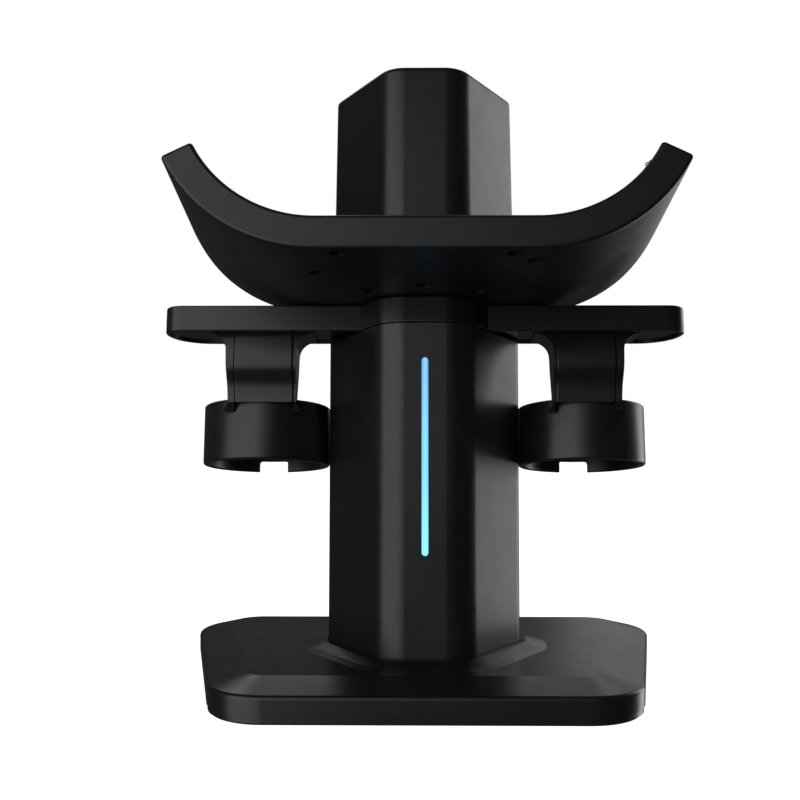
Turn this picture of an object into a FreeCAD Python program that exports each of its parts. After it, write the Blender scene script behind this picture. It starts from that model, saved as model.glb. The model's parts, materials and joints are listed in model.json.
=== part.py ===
"""Charging stand for a virtual reality headset and its two hand controllers.

A bevelled base carries an eight-sided column with a light bar. The column's top is cut
back by the tilt angle, and all that stands on it shares that tilt: a cross bar whose arms
hold two controller rings, the cradle for the headset and the rear pillar.

Frame: millimetres, +X to the viewer's right, +Y to the back, +Z up, with the origin on
the table under the middle of the overall box.
"""
import FreeCAD, Part
import math
import os

V = FreeCAD.Vector
doc = FreeCAD.newDocument("headset_stand")

# ---------------------------------------------------------------- driving dimensions
SIZES = [
    ("tilt_angle", 10.0, "lean of the column's top face and of all that stands on it"),
    ("column_face", -27.5, "Y of the column's front face"),
    ("column_top", 140.2, "Z of the column's front top edge"),
    ("column_foot", 4.0, "Z where the column shells start, inside the base"),
    ("wall", 2.4, "wall of the large moulded shells"),
    ("seam", 0.3, "gap at a parting line"),
    ("flat_half", 15.0, "half width of the column's front flat"),
    ("side_half", 37.6, "half width across the column's sides"),
    ("facet_back", 32.6, "depth of the front facets"),
    ("side_back", 42.0, "where the column's sides end"),
    ("back_half", 20.0, "half width of the column's back flat"),
    ("column_depth", 60.0, "depth of the column"),
    ("column_draft", 0.45, "growth of the section at the foot and its loss at the top"),
    ("shell_split", 37.0, "depth at which front and rear shells meet"),
    ("base_front", -56.0, "Y of the base's front edge"),
    ("base_back", 80.5, "Y of the base's back edge"),
    ("base_front_half", 74.5, "half width of the base at its front edge, before rounding"),
    ("base_back_half", 104.0, "half width of the base at its back edge, before rounding"),
    ("base_front_round", 22.0, "front corner radius of the base"),
    ("base_back_round", 26.5, "back corner radius of the base"),
    ("pad_thick", 1.0, "thickness of the non-slip pad"),
    ("plate_thick", 2.3, "thickness of the base plate"),
    ("wall_top", 10.2, "Z of the top of the base's upright wall"),
    ("deck_top", 14.0, "Z of the base's flat deck"),
    ("bevel_wide", 14.5, "width of the bevel between wall and deck"),
    ("skirt_wide", 12.5, "width of the low skirt round the column's foot"),
    ("skirt_ledge", 3.0, "width of the flat ledge at the skirt's top"),
    ("skirt_rise", 2.4, "rise of the skirt above the deck"),
    ("ballast_thick", 3.6, "thickness of the steel ballast"),
    ("light_wide", 2.3, "width of the light bar"),
    ("light_long", 72.7, "length of the light bar"),
    ("light_low", 54.4, "Z of the light bar's lower end"),
    ("bar_half", 99.5, "half length of the cross bar"),
    ("bar_front", 13.9, "front of the cross bar behind the column's face"),
    ("bar_deep", 23.2, "depth of the cross bar"),
    ("bar_thick", 9.95, "thickness of the cross bar"),
    ("bar_back_round", 15.5, "back corner radius of the cross bar"),
    ("bar_front_round", 7.0, "front corner radius of the cross bar"),
    ("ring_across", 63.1, "X of the controller rings' axes"),
    ("ring_back", 47.9, "distance of the rings' axes behind the column's face"),
    ("ring_outer", 25.2, "outer radius of a controller ring"),
    ("ring_wall", 3.0, "wall of a controller ring"),
    ("ring_tall", 23.4, "height of a controller ring"),
    ("ring_drop", 24.2, "drop from the cross bar's underside to the ring's rim"),
    ("notch_wide", 9.2, "width of the notch in a ring's back wall"),
    ("notch_tall", 6.0, "height of that notch"),
    ("arm_across", 62.35, "X of the arms' middle planes"),
    ("arm_wide", 27.1, "width of an arm"),
    ("arm_panel_wide", 22.9, "width of the recess for the panel on an arm's front"),
    ("arm_flare", 6.5, "radius of the flares where an arm meets the cross bar"),
    ("arm_panel_shift", 0.9, "how far the panel sits inwards of the arm's middle plane"),
    ("cradle_front", -55.6, "front of the cradle ahead of the column's face"),
    ("cradle_deep", 84.0, "depth of the cradle"),
    ("cradle_flat", 36.0, "half width of the cradle's flat bottom at its front"),
    ("cradle_flare", 4.0, "growth of that half width towards the back"),
    ("cradle_outer", 56.6, "outer radius of the cradle's bend"),
    ("cradle_band", 11.3, "thickness of the cradle"),
    ("horn_angle", 26.5, "angle below level at which the horns end"),
    ("horn_round", 24.0, "corner radius of the horns' back edge"),
    ("pillar_inset", 1.6, "how far the pillar's section is inside the column's"),
    ("pillar_face", 2.8, "front of the pillar behind the column's face"),
    ("pillar_top", 102.3, "top of the pillar above the column's top face"),
    ("pillar_draft", 0.6, "loss of the pillar's section at its top"),
    ("pin_radius", 0.72, "radius of a spring contact"),
    ("collar_radius", 1.05, "radius of the collar that keeps a spring contact in its barrel"),
    ("pin_reach", 1.6, "how far a controller's spring contact stands out of the arm"),
    ("charge_turn", 34.0, "angle below level of the headset's charging contact"),
    ("charge_back", 9.6, "distance of that contact behind the cradle's front"),
    ("screw_head", 2.75, "head radius of the case screws"),
    ("screw_shank", 1.45, "shank radius of the case screws"),
]
sheet = doc.addObject("Spreadsheet::Sheet", "Sizes")
for row, (name, value, note) in enumerate(SIZES, start=1):
    sheet.set(f"A{row}", name)
    sheet.set(f"B{row}", str(value))
    sheet.set(f"C{row}", note)
    sheet.setAlias(f"B{row}", name)
doc.recompute()


def size(name):
    """Value of a driving dimension."""
    return float(sheet.get(name))


WALL = size("wall")
HEAD_TALL = 1.7
HEAD_ROUND = 0.7
SOCKET_REACH = 0.9
SOCKET_ROUND = 0.05
SOCKET_DEEP = 1.0
SEAM = size("seam")
FACE = size("column_face")
PILOT = size("screw_shank")
PIN = size("pin_radius")
COLLAR = size("collar_radius")
PIN_HOLE = PIN + 0.06
BARREL = COLLAR + 0.05
SCREW_HOLE = 1.7
BOSS_RADIUS = 3.4
TILT = FreeCAD.Rotation(V(1, 0, 0), -size("tilt_angle"))
HEAD = FreeCAD.Placement(V(0, FACE, size("column_top")), TILT)
COLUMN = FreeCAD.Placement(V(0, FACE, 0), FreeCAD.Rotation())
WORLD = FreeCAD.Placement()


# ---------------------------------------------------------------- outlines
def mirrored(points):
    """Closed counter-clockwise outline from its right half, given front to back."""
    return points + [(-x, y) for x, y in reversed(points)]


def grown(points, distance):
    """The outline with every side moved outwards by distance."""
    moved = []
    count = len(points)
    for i in range(count):
        before, here, after = points[i - 1], points[i], points[(i + 1) % count]
        first = math.atan2(here[1] - before[1], here[0] - before[0])
        second = math.atan2(after[1] - here[1], after[0] - here[0])
        middle = (first + second) / 2
        if math.cos(first - second) < 1 and abs(first - second) > math.pi:
            middle += math.pi
        reach = distance / math.cos((second - first) / 2)
        reach = abs(reach) * (1 if distance > 0 else -1)
        moved.append((here[0] + reach * math.sin(middle), here[1] - reach * math.cos(middle)))
    return moved


def rounded(points, radii):
    """Lines and tangent arcs of the outline, as 2-D geometry for a sketch or a wire."""
    count = len(points)
    corners = []
    for i in range(count):
        here = V(points[i][0], points[i][1], 0)
        to_before = (V(points[i - 1][0], points[i - 1][1], 0) - here).normalize()
        after = points[(i + 1) % count]
        to_after = (V(after[0], after[1], 0) - here).normalize()
        half = to_before.getAngle(to_after) / 2
        cut = radii[i] / math.tan(half)
        centre = here + (to_before + to_after).normalize() * (radii[i] / math.sin(half))
        inward = (here - centre).normalize()
        corners.append((here + to_before * cut, centre + inward * radii[i], here + to_after * cut))
    edges = []
    for i in range(count):
        start, middle, end = corners[i]
        edges.append(Part.Arc(start, middle, end))
        following = corners[(i + 1) % count][0]
        if end.distanceToPoint(following) > 1e-6:
            edges.append(Part.LineSegment(end, following))
    return edges


def wire_at(edges, height):
    """Closed wire of 2-D edges at a height."""
    wire = Part.Wire([edge.toShape() for edge in edges])
    wire.translate(V(0, 0, height))
    return wire


def prism(edges, low, high):
    """Solid between two heights over a 2-D outline."""
    return Part.Face(wire_at(edges, low)).extrude(V(0, 0, high - low))


def tapered(low_edges, low, high_edges, high):
    """Solid with straight sides between two matching outlines."""
    return Part.makeLoft([wire_at(low_edges, low), wire_at(high_edges, high)], True, True)


def rectangle(x_low, x_high, y_low, y_high, radius):
    """Rounded rectangle."""
    points = [(x_high, y_low), (x_high, y_high), (x_low, y_high), (x_low, y_low)]
    return rounded(points, [radius] * 4)


COLUMN_POINTS = mirrored([
    (size("flat_half"), 0),
    (size("side_half"), size("facet_back")),
    (size("side_half"), size("side_back")),
    (size("back_half"), size("column_depth")),
])
COLUMN_ROUNDS = [14.0, 7.0, 7.0, 6.0, 6.0, 7.0, 7.0, 14.0]


def section(grow):
    """The column's eight-sided section, moved outwards by grow."""
    radii = [max(radius + grow, 1.0) for radius in COLUMN_ROUNDS]
    return rounded(grown(COLUMN_POINTS, grow), radii)


def pillar_section(grow):
    """The pillar's section: the column's, set in and behind it."""
    edges = section(grow - size("pillar_inset"))
    shift = size("pillar_face") - size("pillar_inset")
    for edge in edges:
        edge.translate(V(0, shift, 0))
    return edges


BASE_POINTS = mirrored([
    (size("base_front_half"), size("base_front")),
    (size("base_back_half"), size("base_back")),
])
BASE_ROUNDS = [size("base_front_round"), size("base_back_round")]


def base_outline(grow):
    """The base's outline, moved outwards by grow."""
    radii = [max(radius + grow, 1.0) for radius in BASE_ROUNDS]
    return rounded(grown(BASE_POINTS, grow), radii + radii[::-1])


def bar_outline(grow):
    """The cross bar's outline in the tilted frame, moved outwards by grow."""
    front = size("bar_front") - grow
    back = size("bar_front") + size("bar_deep") + grow
    half = size("bar_half") + grow
    points = mirrored([(half, front), (half, back)])
    radii = [size("bar_front_round") + grow, size("bar_back_round") + grow]
    return rounded(points, radii + radii[::-1])


# ---------------------------------------------------------------- document helpers
NODES = []


def keep(item, label):
    """Name a finished sub-part."""
    item.Label = label
    NODES.append(item)
    return item


def feature(label, shape, placement):
    """Sub-part whose shape is made with Part's own functions."""
    item = doc.addObject("Part::Feature", label)
    item.Shape = shape
    item.Placement = placement.multiply(shape.Placement)
    return keep(item, label)


def plane_of(body, role):
    """One of a body's own origin planes."""
    for plane in body.Origin.OriginFeatures:
        if plane.Role == role:
            return plane
    raise ValueError(role)


def sketch_on(body, name, edges, offset):
    """Sketch on the body's XY plane, raised by offset, a cell or a number."""
    sketch = body.newObject("Sketcher::SketchObject", name)
    sketch.AttachmentSupport = (plane_of(body, "XY_Plane"), "")
    sketch.MapMode = "FlatFace"
    sketch.addGeometry(edges, False)
    sketch.setExpression("AttachmentOffset.Base.z", str(offset))
    return sketch


def plate_body(label, outline, low, thick, openings, placement):
    """Padded plate with through openings; low and thick are expressions."""
    body = doc.addObject("PartDesign::Body", label)
    body.Placement = placement
    pad = body.newObject("PartDesign::Pad", f"{label}_pad")
    pad.Profile = sketch_on(body, f"{label}_outline", outline, low)
    pad.setExpression("Length", thick)
    body.Tip = pad
    doc.recompute()
    if openings:
        solid = body.Shape.Volume
        pocket = body.newObject("PartDesign::Pocket", f"{label}_openings")
        pocket.Profile = sketch_on(body, f"{label}_cuts", openings, low)
        pocket.Type = "ThroughAll"
        pocket.Reversed = True
        body.Tip = pocket
        doc.recompute()
        assert body.Shape.Volume < solid, label
    return keep(body, label)


def circle(x, y, radius):
    """Full circle for a sketch."""
    return Part.Circle(V(x, y, 0), V(0, 0, 1), radius)


def rod(x, y, z, radius, length, direction):
    """Solid cylinder from a point along a direction."""
    return Part.makeCylinder(radius, length, V(x, y, z), direction)


def screws(label, seats, direction, shank, placement):
    """Identical pan-head screws: the head lies behind the seat, the shank ahead of it."""
    head_radius = size("screw_head")
    axis = V(*direction)
    solids = []
    for x, y, z in seats:
        seat = V(x, y, z)
        head = Part.makeCylinder(head_radius, HEAD_TALL, seat - axis * HEAD_TALL, axis)
        head = head.makeFillet(HEAD_ROUND, [edge for edge in head.Edges
                                     if (edge.CenterOfMass - seat).Length > HEAD_TALL * 0.9
                                     and len(edge.Vertexes) == 1])
        socket = rounded([(SOCKET_REACH * math.cos(math.radians(60 * k)),
                           SOCKET_REACH * math.sin(math.radians(60 * k))) for k in range(6)],
                         [SOCKET_ROUND] * 6)
        recess = prism(socket, 0, SOCKET_DEEP)
        recess.Placement = FreeCAD.Placement(seat - axis * (HEAD_TALL + 0.01),
                                             FreeCAD.Rotation(V(0, 0, 1), axis))
        body = Part.makeCylinder(size("screw_shank"), shank, seat, axis)
        solids.append(head.cut(recess).fuse(body).removeSplitter())
    return feature(label, Part.makeCompound(solids), placement)


UP = V(0, 0, 1)
BACK = V(0, 1, 0)

# ---------------------------------------------------------------- base
PLATE_LOW = size("pad_thick")
PLATE_TOP = PLATE_LOW + size("plate_thick")
BASE_SCREWS = [(58, -42), (84, 20), (82, 60), (-58, -42), (-84, 20), (-82, 60)]
SPINE_BACK = 29.0
SPINE_Y = FACE + SPINE_BACK
FLANGE_REACH = 14.0
FLANGE_SCREWS = [(FLANGE_REACH * math.cos(math.radians(45 + 90 * k)),
                  SPINE_Y + FLANGE_REACH * math.sin(math.radians(45 + 90 * k))) for k in range(4)]
INLET_Z = 6.9


def base_cover():
    """Bevelled top shell with the skirt round the column, bosses and the inlet's hole."""
    wall_top, deck_top = size("wall_top"), size("deck_top")
    bevel = size("bevel_wide")
    upright = prism(base_outline(0), PLATE_TOP, wall_top)
    slope = tapered(base_outline(0), wall_top, base_outline(-bevel), deck_top)
    outer = upright.fuse(slope).removeSplitter()
    rim = [edge for edge in outer.Edges
           if abs(edge.BoundBox.ZMin - wall_top) < 1e-4 and abs(edge.BoundBox.ZMax - wall_top) < 1e-4]
    outer = outer.makeFillet(1.6, rim)
    outer = outer.makeFillet(2.5, [edge for edge in outer.Edges
                                   if abs(edge.BoundBox.ZMin - deck_top) < 1e-4
                                   and abs(edge.BoundBox.ZMax - deck_top) < 1e-4])
    wide, ledge, rise = size("skirt_wide"), size("skirt_ledge"), size("skirt_rise")
    knee = (wide + ledge) / 2
    skirt = tapered(section(wide), deck_top - 0.3, section(knee), deck_top + 0.3 * rise)
    skirt = skirt.fuse(tapered(section(knee), deck_top + 0.3 * rise,
                               section(ledge), deck_top + rise)).removeSplitter()
    skirt.Placement = COLUMN
    hollow_low = prism(base_outline(-WALL), PLATE_TOP - 1, wall_top - WALL)
    hollow_high = tapered(base_outline(-WALL), wall_top - WALL,
                          base_outline(-bevel - WALL), deck_top - WALL)
    shell = outer.fuse(skirt).cut(hollow_low.fuse(hollow_high))
    for x, y in BASE_SCREWS:
        boss = rod(x, y, PLATE_TOP, BOSS_RADIUS, wall_top - PLATE_TOP, UP)
        shell = shell.fuse(boss)
    for x, y in BASE_SCREWS:
        shell = shell.cut(rod(x, y, PLATE_TOP - 1, PILOT, 7.0, UP))
    foot_hole = prism(section(size("column_draft") + SEAM), 0, 30)
    foot_hole.Placement = COLUMN
    inlet_hole = prism(rectangle(-5.2, 5.2, -2.3, 2.3, 2.2), 0, 12)
    inlet_hole.Placement = FreeCAD.Placement(V(0, size("base_back") + 4, INLET_Z),
                                             FreeCAD.Rotation(V(1, 0, 0), 90))
    return shell.cut(foot_hole).cut(inlet_hole)


feature("base_cover", base_cover(), WORLD)
plate_body("non_slip_pad", base_outline(-1.4), "0 mm", "Sizes.pad_thick", [], WORLD)
plate_holes = [circle(x, y, 1.6) for x, y in BASE_SCREWS + FLANGE_SCREWS]
base_plate = plate_body("base_plate", base_outline(-0.5), "Sizes.pad_thick", "Sizes.plate_thick",
                        plate_holes, WORLD)
recess = base_plate.newObject("PartDesign::Pocket", "base_plate_head_recesses")
recess.Profile = sketch_on(base_plate, "base_plate_heads",
                           [circle(x, y, 3.0) for x, y in BASE_SCREWS + FLANGE_SCREWS],
                           "Sizes.pad_thick")
recess.Length = HEAD_TALL
recess.Reversed = True
base_plate.Tip = recess
BALLAST_POINTS = mirrored([(54.0, -44.0), (70.0, 46.0)])
ballast_hole = rectangle(-41.0, 41.0, FACE - 4, FACE + 64.0, 6.0)
plate_body("ballast_plate", rounded(BALLAST_POINTS, [8.0] * 4), "Sizes.pad_thick + Sizes.plate_thick",
           "Sizes.ballast_thick", ballast_hole, WORLD)
screws("base_screws", [(x, y, PLATE_LOW + HEAD_TALL) for x, y in BASE_SCREWS], (0, 0, 1), 5.6, WORLD)

BOARD_LOW = PLATE_TOP
power_board = doc.addObject("Part::Box", "power_board")
power_board.Length = 32
power_board.Width = 22
power_board.Height = 1.6
power_board.Placement.Base = V(-16, 54, BOARD_LOW)
keep(power_board, "power_board")


def power_inlet():
    """Metal shell of the power socket with its tongue, on the board at the back wall."""
    outer = prism(rectangle(-4.5, 4.5, -1.65, 1.65, 1.6), 0, 7.4)
    inner = prism(rectangle(-4.2, 4.2, -1.35, 1.35, 1.3), 0.8, 8)
    tongue = prism(rectangle(-3.3, 3.3, -0.35, 0.35, 0.3), 0.5, 5.8)
    return outer.cut(inner).fuse(tongue)


feature("power_inlet", power_inlet(),
        FreeCAD.Placement(V(0, size("base_back") - 7.9, INLET_Z - 0.35),
                          FreeCAD.Rotation(V(1, 0, 0), -90)))

# ---------------------------------------------------------------- column
LIGHT_LOW = size("light_low")
LIGHT_HIGH = LIGHT_LOW + size("light_long")
COLUMN_SEATS = [(x, z) for z in (34.0, 104.0) for x in (-15.0, 15.0)]
POST_RADIUS = 4.0
LOOM_RISE = 8.6
SEAT_DEPTH = 47.0


def split_solid(solid, front):
    """The part of a solid ahead of the shells' split, or behind it."""
    reach = 400.0
    depth = size("shell_split")
    low = -reach if front else depth
    return solid.common(Part.makeBox(2 * reach, reach + (depth if front else 0), 2 * reach,
                                     V(-reach, low, -reach)))


def column_hull(grow, low):
    """The column's drafted solid, cut at its tilted top face; grow is negative inside."""
    draft = size("column_draft")
    high = size("column_top") + 6
    tall = tapered(section(grow + draft), low, section(grow - draft), high)
    lid = Part.makeBox(400, 400, 60, V(-200, -200, -SEAM))
    lid.Placement = FreeCAD.Placement(V(0, 0, size("column_top")), TILT)
    return tall.cut(lid)


def column_shells():
    """Front and rear shells, with the light bar's slot and the screw posts."""
    foot = size("column_foot")
    solid = column_hull(0, foot)
    hollow = column_hull(-WALL, foot - 1)
    shell = solid.cut(hollow)
    front = split_solid(shell, True)
    rear = split_solid(shell, False)
    split = size("shell_split")
    for x, z in COLUMN_SEATS:
        front = front.fuse(rod(x, split, z, POST_RADIUS, split, -BACK).common(solid))
        rear = rear.fuse(rod(x, split, z, POST_RADIUS + 0.6, 30, BACK).common(solid))
    for x, z in COLUMN_SEATS:
        front = front.cut(rod(x, split + 1, z, PILOT, 16, -BACK))
        rear = rear.cut(rod(x, split - 1, z, 1.7, 30, BACK))
        rear = rear.cut(rod(x, SEAT_DEPTH, z, 3.1, 30, BACK))
    slot_half = size("light_wide") / 2 + 0.08
    slot = prism(rectangle(-slot_half, slot_half, LIGHT_LOW - 0.08, LIGHT_HIGH + 0.08,
                           slot_half - 0.01), -3, 12)
    slot.Placement = FreeCAD.Placement(V(0, 8, 0), FreeCAD.Rotation(V(1, 0, 0), 90))
    return front.cut(slot), rear.cut(Part.makeBox(5, 20, 16, V(-2.5, 50, LOOM_RISE - 13)))


front_shell, rear_shell = column_shells()
feature("column_front_shell", front_shell, COLUMN)
feature("column_rear_shell", rear_shell, COLUMN)
screws("column_screws", [(x, SEAT_DEPTH, z) for x, z in COLUMN_SEATS], (0, -1, 0), 22.0,
       COLUMN)


def light_diffuser():
    """Milky bar that fills the slot, with a flange behind the shell's wall."""
    half = size("light_wide") / 2
    bar = prism(rectangle(-half, half, LIGHT_LOW, LIGHT_HIGH, half - 0.01), 0, 3.2)
    flange = prism(rectangle(-half - 2, half + 2, LIGHT_LOW - 2, LIGHT_HIGH + 2, half), -1.4, 0)
    body = bar.fuse(flange)
    body.Placement = FreeCAD.Placement(V(0, 3.2 - 0.05, 0), FreeCAD.Rotation(V(1, 0, 0), 90))
    return body


feature("light_diffuser", light_diffuser(), COLUMN)
LED_COUNT = 12
led_pitch = size("light_long") / LED_COUNT
light_board = doc.addObject("Part::Box", "light_board")
light_board.Length = 8
light_board.Width = 1.2
light_board.setExpression("Height", "Sizes.light_long + 8")
light_board.Placement.Base = V(-4, FACE + 6.2, LIGHT_LOW - 4)
keep(light_board, "light_board")
led_solids = [Part.makeBox(2.8, 0.9, 3.5, V(-1.4, 5.3, LIGHT_LOW + led_pitch * (k + 0.5) - 1.75))
              for k in range(LED_COUNT)]
feature("light_leds", Part.makeCompound(led_solids), COLUMN)

SPINE_LOW = PLATE_TOP + 3.0
SPINE_HIGH = 124.0
spine = rod(0, SPINE_BACK, SPINE_LOW, 9.0, SPINE_HIGH - SPINE_LOW, UP)
spine = spine.cut(rod(0, SPINE_BACK, SPINE_LOW - 1, 7.6, 200, UP))
feature("spine_tube", spine, COLUMN)
flange_holes = [circle(x, y, PILOT) for x, y in FLANGE_SCREWS] + [circle(0, SPINE_Y, 7.6)]
plate_body("spine_flange", [circle(0, SPINE_Y, 18.5)], "Sizes.pad_thick + Sizes.plate_thick",
           "3 mm", flange_holes, WORLD)
screws("flange_screws", [(x, y, PLATE_LOW + HEAD_TALL) for x, y in FLANGE_SCREWS], (0, 0, 1), 3.6, WORLD)


def wire_loom():
    """Bundle of wires from the power board, up behind the spine to the column's top."""
    rise, turn, radius = LOOM_RISE, 9.0, 1.5
    start = V(0, 84.0, rise)
    corner = V(0, 46.0, rise)
    knee = corner + V(0, turn, 0)
    lift = corner + V(0, 0, turn)
    bend = corner + V(0, turn, turn) + V(0, -1, -1).normalize() * turn
    path = Part.Wire([Part.LineSegment(start, knee).toShape(),
                      Part.Arc(knee, bend, lift).toShape(),
                      Part.LineSegment(lift, V(0, 46.0, 120.0)).toShape()])
    ring = Part.Wire([Part.Circle(start, V(0, 1, 0), radius).toShape()])
    return path.makePipeShell([ring], True, False)


feature("wire_loom", wire_loom(), COLUMN)

# ---------------------------------------------------------------- cross bar
BAR_THICK = size("bar_thick")


def bar_plan(grow, low, high):
    """Solid of the cross bar's plan: the bar together with the column's section."""
    return prism(bar_outline(grow), low, high).fuse(prism(section(grow - 0.45), low, high))


def cross_bar_shell():
    """Upper shell: plate, rim and, in its middle, a layer of the column's section."""
    outer = bar_plan(0, 0, BAR_THICK).removeSplitter()
    top = [edge for edge in outer.Edges
           if edge.BoundBox.ZMin > BAR_THICK - 1e-4 or edge.BoundBox.ZMax < 1e-4]
    outer = outer.makeFillet(0.6, top)
    shell = outer.cut(bar_plan(-1.9, -1, BAR_THICK - 2.0))
    return shell.cut(rod(0, SPINE_BACK, 0, 7, 30, UP))


feature("cross_bar_shell", cross_bar_shell(), HEAD)
cover = bar_plan(-2.1, 0.8, 2.6).removeSplitter().cut(rod(0, SPINE_BACK, 0, 7, 30, UP))
ARM_SEATS = [(side * (size("arm_across") + step), 28.0) for side in (-1, 1) for step in (-8, 8)]
for x, y in ARM_SEATS:
    cover = cover.cut(rod(x, y, 0, 1.7, 10, UP))
feature("cross_bar_cover", cover, HEAD)
screws("arm_screws", [(x, y, 2.65) for x, y in ARM_SEATS], (0, 0, -1), 8.0, HEAD)

# ---------------------------------------------------------------- arms, rings and contacts
DROP = size("ring_drop")
ARM_TOP = 0.7
ARM_BACK = 30.5
ARM_OFFSET = size("ring_across") - size("arm_across")
FOOT_FACE = 22.0
FOOT_LOW = -29.4
FOOT_FLARE = 1.4
FOOT_TOE = 24.4
LIP_LOW = -26.0
PIN_STEP = 3.0
PIN_DROP = -13.0


def side_profile(edges, half_wide):
    """Solid from side-view edges in the plane X = 0, half_wide to each side of it."""
    wire = Part.Wire(edges)
    wire.translate(V(-half_wide, 0, 0))
    return Part.Face(wire).extrude(V(2 * half_wide, 0, 0))


def chain(points):
    """Straight edges through side-view points (depth, height)."""
    corners = [V(0, u, n) for u, n in points]
    return [Part.LineSegment(a, b).toShape() for a, b in zip(corners, corners[1:])]


def front_curve(ahead):
    """Side view of an arm's front: a soft ridge above a hollow, moved forward by ahead."""
    line = [(18.4, ARM_TOP), (17.6, -4.0), (17.2, -9.5), (17.7, -13.5), (19.4, -16.5),
            (21.0, -19.3), (21.8, -22.2), (FOOT_FACE, LIP_LOW)]
    curve = Part.BSplineCurve()
    curve.interpolate([V(0, u - ahead, n) for u, n in line])
    return curve.toShape()


def arm_front_view():
    """Front view of an arm: flared where it meets the cross bar and at its feet."""
    half, flare = size("arm_wide") / 2, size("arm_flare")
    waist = half - 0.5
    foot = half + FOOT_FLARE - 0.5
    right = [V(half + flare, 0, ARM_TOP), V(half + flare, 0, 0), V(half, 0, -flare),
             V(waist, 0, LIP_LOW + 1.5), V(foot, 0, FOOT_LOW + 1.0), V(foot, 0, FOOT_LOW)]
    bend = flare * (1 - math.cos(math.pi / 4))
    top_middle = V(half + bend, 0, -bend)
    low_middle = V((waist + foot) / 2 - 0.35, 0, (LIP_LOW + FOOT_LOW) / 2 + 0.75)

    def flipped(point):
        return V(-point.x, 0, point.z)

    edges = [Part.LineSegment(right[0], right[1]), Part.Arc(right[1], top_middle, right[2]),
             Part.LineSegment(right[2], right[3]), Part.Arc(right[3], low_middle, right[4]),
             Part.LineSegment(right[4], right[5])]
    left = [flipped(point) for point in right]
    edges += [Part.LineSegment(right[5], left[5]), Part.LineSegment(left[5], left[4]),
              Part.Arc(left[4], flipped(low_middle), left[3]), Part.LineSegment(left[3], left[2]),
              Part.Arc(left[2], flipped(top_middle), left[1]), Part.LineSegment(left[1], left[0]),
              Part.LineSegment(left[0], right[0])]
    face = Part.Face(Part.Wire([edge.toShape() for edge in edges]))
    return face.extrude(V(0, 60, 0))


def arm_solids():
    """The right arm round X = 0: its body with cheeks and feet, and its front panel."""
    top, lip = V(0, 18.4, ARM_TOP), V(0, FOOT_FACE, LIP_LOW)
    back = [(FOOT_FACE, LIP_LOW), (FOOT_TOE, FOOT_LOW), (28.8, FOOT_LOW), (28.8, -22.0),
            (ARM_BACK, -14.0), (ARM_BACK, -8.0), (34.5, ARM_TOP), (top.y, top.z)]
    body = side_profile([front_curve(0)] + chain(back), size("arm_wide"))
    body = body.common(arm_front_view())
    room = rod(ARM_OFFSET, size("ring_back"), -DROP - 40, size("ring_outer"), 40, UP)
    body = body.cut(room)
    groove = [(10.0, ARM_TOP + 1), (10.0, FOOT_LOW - 5), (32.0, FOOT_LOW - 5), (32.0, -DROP),
              (22.75, -DROP), (22.75, -19.4), (20.75, -14.4), (20.75, ARM_TOP + 1),
              (10.0, ARM_TOP + 1)]
    groove = side_profile(chain(groove), size("arm_panel_wide") / 2)
    inwards = V(-size("arm_panel_shift"), 0, 0)
    groove.translate(inwards)
    body = body.cut(groove)
    window = Part.makeBox(11.0, 8.2, 5.4, V(ARM_OFFSET - 5.5, ARM_BACK - 8.0, PIN_DROP - 2.7))
    ahead = 0.3
    panel_back = [(FOOT_FACE - ahead, LIP_LOW), (22.6, LIP_LOW), (22.6, -19.5), (20.6, -14.5),
                  (20.6, ARM_TOP), (top.y - ahead, top.z)]
    panel = side_profile([front_curve(ahead)] + chain(panel_back), size("arm_panel_wide") / 2 - 0.25)
    rim = [edge for edge in panel.Edges
           if edge.BoundBox.XLength < 1e-6 and edge.BoundBox.ZLength > 25 and edge.CenterOfMass.y < 20]
    panel = panel.makeFillet(0.5, rim)
    panel.translate(inwards)
    return body.cut(window), panel


def ring_solid():
    """Open ring round the origin with the notch in the bottom of its back wall."""
    outer, tall = size("ring_outer"), size("ring_tall")
    inner = outer - size("ring_wall")
    ring = Part.makeCylinder(outer, tall, V(0, 0, 0), UP)
    ring = ring.cut(Part.makeCylinder(inner, tall + 2, V(0, 0, -1), UP))
    ring = ring.makeFillet(0.8, [edge for edge in ring.Edges if len(edge.Vertexes) == 1
                                 or edge.BoundBox.ZLength < 1e-6])
    wide = size("notch_wide")
    notch = Part.makeBox(wide, 2 * size("ring_wall") + 6, size("notch_tall") + 1,
                         V(-wide / 2, inner - 4, -1))
    corner = [edge for edge in notch.Edges
              if edge.BoundBox.ZMin > size("notch_tall") - 1 and edge.BoundBox.XLength < 1e-6
              and edge.BoundBox.YLength > 1]
    return ring.cut(notch.makeFillet(1.2, corner))


def on_side(shape, side):
    """A shape of the right side, or its mirror image for the left side."""
    return shape if side > 0 else shape.mirror(V(0, 0, 0), V(1, 0, 0))


def spring_pin(stand_out, collar_back, tail):
    """Spring contact on the axis X = 0 along +Z: domed tip, collar and tail."""
    collar_long = 1.5
    rod_solid = rod(0, 0, -tail, PIN, tail + stand_out - PIN, UP)
    collar = rod(0, 0, -collar_back, COLLAR, collar_long, UP)
    dome = Part.makeSphere(PIN, V(0, 0, stand_out - PIN))
    return rod_solid.fuse(collar).fuse(dome).removeSplitter()


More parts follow.
